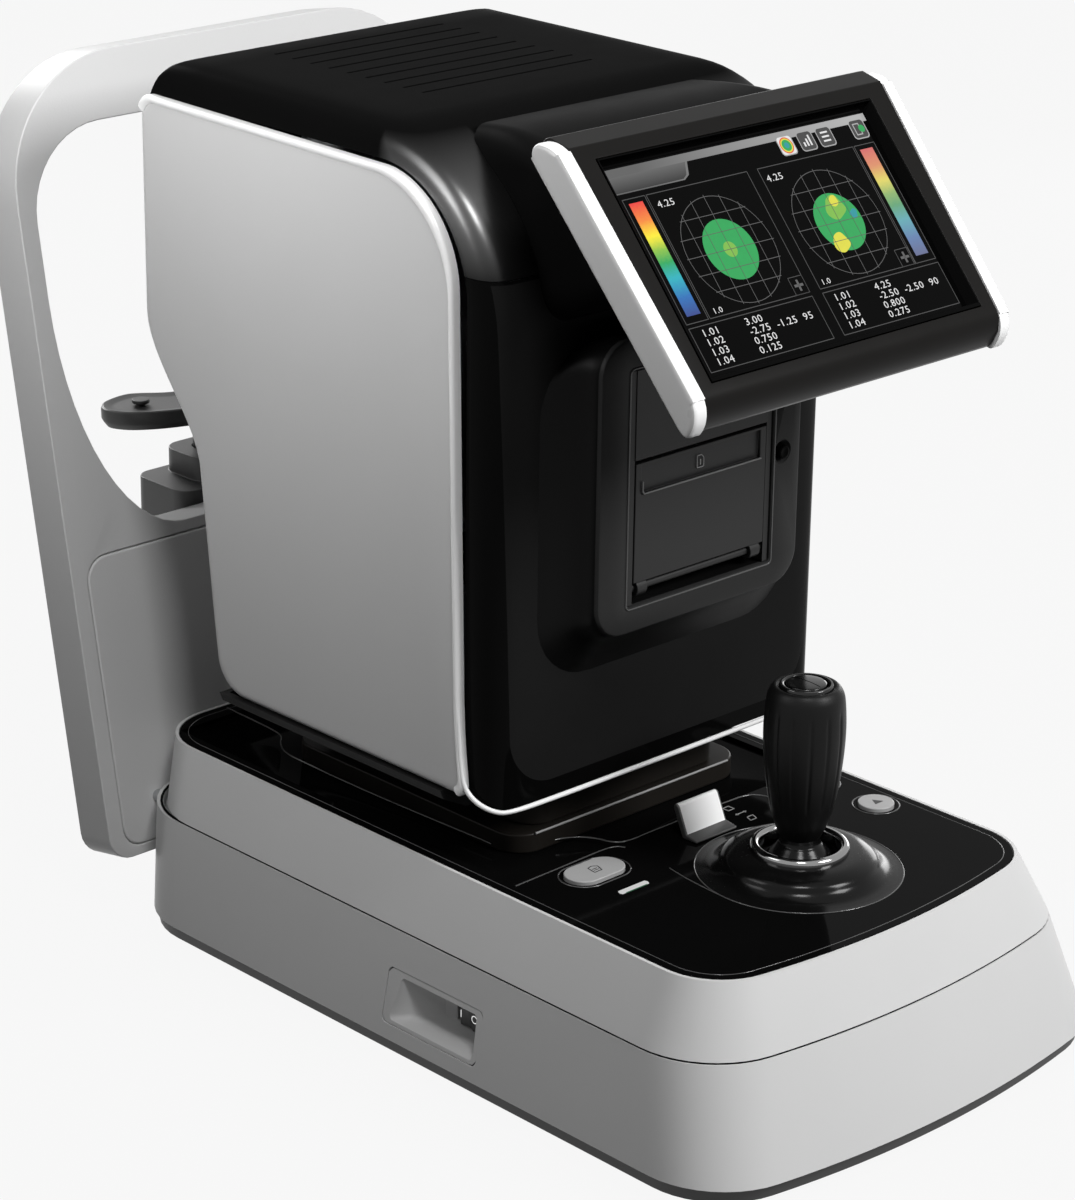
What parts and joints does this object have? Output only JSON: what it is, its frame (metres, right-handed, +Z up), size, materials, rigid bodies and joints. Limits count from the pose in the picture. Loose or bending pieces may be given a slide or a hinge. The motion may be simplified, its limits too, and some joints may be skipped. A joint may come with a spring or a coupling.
{
  "type": "autorefractor",
  "caption": "Table-top auto refractor: sliding stage with joystick over a wide base, measuring head with tilting monitor and printer, leaning arch with chin rest.",
  "frame": {"origin": "middle of the footprint's bounding box, on the table top", "axes": "+Z up, +Y towards the patient, -Y towards the operator, +X to the operator's right"},
  "size_m": [0.262, 0.5201, 0.4282],
  "materials": {
    "shell_grey": "satin pale grey moulding",
    "panel_grey": "satin light grey",
    "rim_white": "bright white",
    "plinth_dark": "dark grey",
    "plate_steel": "plain steel plate",
    "rail_steel": "ground steel",
    "cast_grey": "machined",
    "electronics": "circuit board green",
    "gloss_black": "piano black",
    "satin_black": "satin black",
    "printer_dark": "matt dark grey",
    "rubber_black": "matt rubber",
    "switch_black": "satin black",
    "button_grey": "satin grey",
    "tab_white": "white",
    "chrome_ring": "polished",
    "steel_screw": "threaded",
    "lens_glass": "coated lens",
    "screen": "lit display",
    "cap_silver": "satin silver",
    "arch_grey": "fine textured pale grey",
    "chin_dark": "matt dark grey",
    "paper": "white paper",
    "pad_black": "soft black silicone"
  },
  "bodies": {
    "base": {"base_lower_shell": "shell_grey", "plinth": "plinth_dark", "chassis_plate": "plate_steel", "slide_plate": "plate_steel", "switch_pocket": "shell_grey", "power_inlet": "switch_black", "base_electronics": "electronics", "arch_frame": "arch_grey", "skirt_cover": "arch_grey", "arch_fixings": "cast_grey", "chin_housing": "chin_dark", "forehead_pad": "pad_black"},
    "power_rocker": {"power_rocker": "switch_black"},
    "y_stage": {"y_carriage": "cast_grey"},
    "stage": {"x_carriage": "cast_grey", "stage_plate": "cast_grey", "base_upper_shell": "shell_grey", "deck_plate": "gloss_black", "control_board": "electronics", "joystick_dome": "gloss_black", "joystick_ring": "chrome_ring", "gimbal_socket": "cast_grey", "stage_block": "satin_black", "column_shroud": "satin_black", "lift_column": "rail_steel"},
    "print_button": {"print_button": "button_grey"},
    "chin_up_button": {"chin_up_button": "button_grey"},
    "chin_down_button": {"chin_down_button": "button_grey"},
    "lock_tab": {"lock_tab": "tab_white"},
    "gimbal_yoke": {"gimbal_yoke": "cast_grey"},
    "stick": {"stick_ball": "gloss_black"},
    "grip": {"rubber_grip": "rubber_black", "grip_cap": "gloss_black"},
    "measure_button": {"measure_button": "gloss_black"},
    "lift_screw": {"lift_screw": "steel_screw"},
    "head": {"left_panel": "panel_grey", "right_panel": "panel_grey", "side_rims": "rim_white", "top_cover": "satin_black", "front_cover": "gloss_black", "head_pan": "shell_grey", "patient_cover": "satin_black", "lens_barrel": "cast_grey", "lenses": "lens_glass", "optics_block": "cast_grey", "head_chassis": "cast_grey", "monitor_hood": "satin_black", "printer_console": "satin_black", "printer_frame": "printer_dark"},
    "monitor": {"monitor_case": "gloss_black", "monitor_bezel": "gloss_black", "screen_panel": "screen", "end_caps": "cap_silver"},
    "printer_door": {"printer_door": "printer_dark"},
    "paper_roll": {"paper_roll": "paper"},
    "platen_roller": {"platen_roller": "rubber_black"},
    "open_button": {"open_button": "gloss_black"},
    "chin_rest": {"chin_tray": "chin_dark", "paper_pins": "chin_dark"},
    "chin_screw": {"chin_screw": "steel_screw"}
  },
  "joints": [
    {"name": "y_travel", "type": "slide", "parent": "base", "child": "y_stage", "axis": [0, 1, 0], "range_m": [-0.034, 0.006]},
    {"name": "x_travel", "type": "slide", "parent": "y_stage", "child": "stage", "axis": [1, 0, 0], "range_m": [-0.043, 0.043]},
    {"name": "power_switch", "type": "hinge", "parent": "base", "child": "power_rocker", "pos_m": [-0.10698, -0.083, 0.0345], "axis": [0, 0, 1], "range_deg": [0, 12]},
    {"name": "print_press", "type": "slide", "parent": "stage", "child": "print_button", "axis": [0, 0, -1], "range_m": [0, 0.0012], "stiffness_N_per_m": 300, "springref_m": -0.0005},
    {"name": "chin_up_press", "type": "slide", "parent": "stage", "child": "chin_up_button", "axis": [0, 0, -1], "range_m": [0, 0.0012], "stiffness_N_per_m": 300, "springref_m": -0.0005},
    {"name": "chin_down_press", "type": "slide", "parent": "stage", "child": "chin_down_button", "axis": [0, 0, -1], "range_m": [0, 0.0012], "stiffness_N_per_m": 300, "springref_m": -0.0005},
    {"name": "stage_lock", "type": "slide", "parent": "stage", "child": "lock_tab", "axis": [1, 0, 0], "range_m": [0, 0.01]},
    {"name": "stick_fore_aft", "type": "hinge", "parent": "stage", "child": "gimbal_yoke", "pos_m": [0.01, -0.161, 0.092], "axis": [1, 0, 0], "range_deg": [-10, 10]},
    {"name": "stick_sideways", "type": "hinge", "parent": "gimbal_yoke", "child": "stick", "pos_m": [0.01, -0.161, 0.092], "axis": [0, 1, 0], "range_deg": [-10, 10]},
    {"name": "grip_turn", "type": "hinge", "parent": "stick", "child": "grip", "pos_m": [0.01, -0.161, 0.108], "axis": [0, 0, 1], "continuous": true},
    {"name": "measure_press", "type": "slide", "parent": "grip", "child": "measure_button", "axis": [0, 0, -1], "range_m": [0, 0.0012], "stiffness_N_per_m": 300, "springref_m": -0.0005},
    {"name": "head_lift", "type": "slide", "parent": "stage", "child": "head", "axis": [0, 0, 1], "range_m": [-0.015, 0.015]},
    {"name": "lift_screw_turn", "type": "hinge", "parent": "stage", "child": "lift_screw", "pos_m": [0, 0.01, 0.2], "axis": [0, 0, 1], "range_deg": [-1351, 1351]},
    {"name": "monitor_tilt", "type": "hinge", "parent": "head", "child": "monitor", "pos_m": [0, -0.09734, 0.41234], "axis": [-1, 0, 0], "range_deg": [0, 20]},
    {"name": "door_open", "type": "hinge", "parent": "head", "child": "printer_door", "pos_m": [0, -0.101, 0.221], "axis": [1, 0, 0], "range_deg": [0, 80]},
    {"name": "open_press", "type": "slide", "parent": "head", "child": "open_button", "axis": [0, 1, 0], "range_m": [0, 0.0012], "stiffness_N_per_m": 300},
    {"name": "paper_roll_turn", "type": "hinge", "parent": "head", "child": "paper_roll", "pos_m": [0, -0.077, 0.245], "axis": [1, 0, 0], "continuous": true},
    {"name": "platen_turn", "type": "hinge", "parent": "head", "child": "platen_roller", "pos_m": [0, -0.093, 0.29], "axis": [1, 0, 0], "continuous": true},
    {"name": "chin_lift", "type": "slide", "parent": "base", "child": "chin_rest", "axis": [0, 0, 1], "range_m": [-0.01, 0.048]},
    {"name": "chin_screw_turn", "type": "hinge", "parent": "base", "child": "chin_screw", "pos_m": [0, 0.22481, 0.15], "axis": [0, 0, 1], "range_deg": [-4321, 901]}
  ],
  "couplings": [
    {"joint": "lift_screw_turn", "follows": "head_lift", "rad_per_m": -1570.8},
    {"joint": "chin_screw_turn", "follows": "chin_lift", "rad_per_m": -1570.8}
  ]
}
